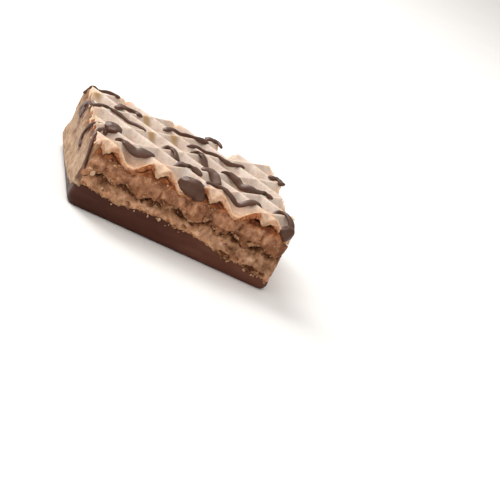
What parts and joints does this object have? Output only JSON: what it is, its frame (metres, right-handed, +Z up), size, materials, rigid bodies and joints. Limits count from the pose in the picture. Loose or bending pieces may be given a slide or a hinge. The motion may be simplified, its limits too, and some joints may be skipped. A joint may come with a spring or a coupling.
{
  "type": "protein wafer square",
  "caption": "Cut square of a layered wafer bar: waffled wafer sheets with cream between, base dipped in chocolate, chocolate threads drizzled on top. Lies flat on a table or plate.",
  "frame": {"origin": "on the floor under the middle of the square", "axes": "+X along the long cut face to the right, +Y to the back, +Z up; the long cut face with the higher chocolate looks along -Y"},
  "size_m": [0.0516, 0.0494, 0.0175],
  "materials": {
    "chocolate": "dark chocolate, satin, a little streaked",
    "wafer": "baked wafer, matte and translucent",
    "lower_cream": "dry tan cream, grainy on the cut",
    "upper_cream": "dry brown cream, grainy on the cut",
    "top_wafer": "pale wafer, matte and translucent, with dark chocolate threads fused to it"
  },
  "bodies": {
    "root": {"chocolate_base": "chocolate", "lower_wafer": "wafer", "lower_cream": "lower_cream", "middle_wafer": "wafer", "upper_cream": "upper_cream", "top_wafer": "top_wafer"}
  },
  "joints": []
}
